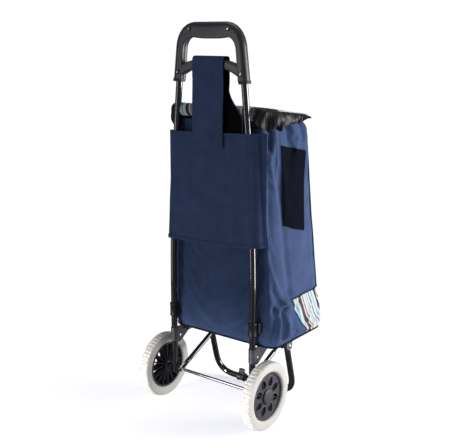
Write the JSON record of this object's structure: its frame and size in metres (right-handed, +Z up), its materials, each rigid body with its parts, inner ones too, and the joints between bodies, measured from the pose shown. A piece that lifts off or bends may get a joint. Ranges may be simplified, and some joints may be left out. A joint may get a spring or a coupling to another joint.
{
  "type": "shopping trolley",
  "caption": "Folding two-wheeled shopping trolley: bent-tube frame with loop handle, folding platform and front leg, and a tall fabric bag with a soft lid.",
  "frame": {"origin": "on the floor, under the middle of the whole trolley", "axes": "+Z up, +Y towards the handle side and the wheels, -Y towards the bag's front, X along the axle"},
  "size_m": [0.3678, 0.3319, 0.96],
  "materials": {
    "frame_paint": "gloss black powder coat",
    "black_plastic": "satin moulded",
    "hub_plastic": "satin moulded",
    "tyre_foam": "matt foam, moulded tread",
    "zinc": "zinc plated",
    "chrome": "bright drawn rod",
    "grey_steel": "grey pressed steel",
    "nylon": "natural nylon",
    "navy_fabric": "coated polyester canvas",
    "mesh_fabric": "close dark mesh",
    "stripe_fabric": "striped coated canvas in white, blue, navy and brown",
    "skirt_fabric": "thin gathered nylon with a slight shine",
    "board_card": "stiff board"
  },
  "bodies": {
    "frame": {"frame_tube_left": "frame_paint", "frame_tube_right": "frame_paint", "gusset_left": "frame_paint", "gusset_right": "frame_paint", "frame_collar_left": "black_plastic", "frame_collar_right": "black_plastic", "axle_spacer_left": "nylon", "axle_spacer_right": "nylon", "axle_clip_left": "zinc", "axle_clip_right": "zinc", "shelf_rivet_left": "zinc", "shelf_rivet_right": "zinc", "rivet_spacer_left": "zinc", "rivet_spacer_right": "zinc", "handle_screw_top_left": "zinc", "handle_screw_top_right": "zinc", "handle_screw_low_left": "zinc", "handle_screw_low_right": "zinc", "axle": "chrome", "handle_back": "black_plastic", "handle_front": "black_plastic", "grip_insert": "black_plastic", "cross_brace": "black_plastic", "bag_body": "navy_fabric", "back_panel": "navy_fabric", "strap": "navy_fabric", "side_pocket": "mesh_fabric", "front_pocket": "stripe_fabric", "lid_roll": "stripe_fabric"},
    "wheel_left": {"tyre_left": "tyre_foam", "wheel_hub_left": "hub_plastic", "wheel_bush_left": "nylon", "hub_cap_left": "hub_plastic"},
    "wheel_right": {"tyre_right": "tyre_foam", "wheel_hub_right": "hub_plastic", "wheel_bush_right": "nylon", "hub_cap_right": "hub_plastic"},
    "shelf": {"shelf_rail_left": "frame_paint", "shelf_rail_right": "frame_paint", "leg_bracket_left": "grey_steel", "leg_bracket_right": "grey_steel", "shelf_slat_left": "frame_paint", "shelf_slat_right": "frame_paint", "leg_rivet_left": "zinc", "leg_rivet_right": "zinc", "shelf_front_bar": "frame_paint", "shelf_rear_bar": "frame_paint", "base_board": "board_card"},
    "struts": {"strut_left": "frame_paint", "strut_right": "frame_paint"},
    "leg": {"front_leg": "frame_paint", "foot_clip_left": "black_plastic", "foot_clip_right": "black_plastic"},
    "lid": {"lid_panel": "stripe_fabric", "lid_skirt": "skirt_fabric"}
  },
  "joints": [
    {"name": "wheel_left_spin", "type": "hinge", "parent": "frame", "child": "wheel_left", "pos_m": [0.161, 0.081, 0.085], "axis": [1, 0, 0], "continuous": true},
    {"name": "wheel_right_spin", "type": "hinge", "parent": "frame", "child": "wheel_right", "pos_m": [-0.161, 0.081, 0.085], "axis": [1, 0, 0], "continuous": true},
    {"name": "shelf_fold", "type": "hinge", "parent": "frame", "child": "shelf", "pos_m": [0, 0.034, 0.185], "axis": [-1, 0, 0], "range_deg": [0, 90], "deforming": ["bag_body", "front_pocket", "side_pocket"]},
    {"name": "strut_fold", "type": "hinge", "parent": "frame", "child": "struts", "pos_m": [0, 0.081, 0.085], "axis": [-1, 0, 0], "range_deg": [0, 62.1]},
    {"name": "leg_fold", "type": "hinge", "parent": "shelf", "child": "leg", "pos_m": [0, -0.069, 0.157], "axis": [1, 0, 0], "range_deg": [0, 105.4]},
    {"name": "lid_fold", "type": "hinge", "parent": "frame", "child": "lid", "pos_m": [0, 0.049, 0.747], "axis": [-1, 0, 0], "range_deg": [0, 80]}
  ],
  "couplings": [
    {"joint": "strut_fold", "follows": "shelf_fold", "ratio": 0.6889},
    {"joint": "leg_fold", "follows": "shelf_fold", "ratio": 1.17}
  ]
}
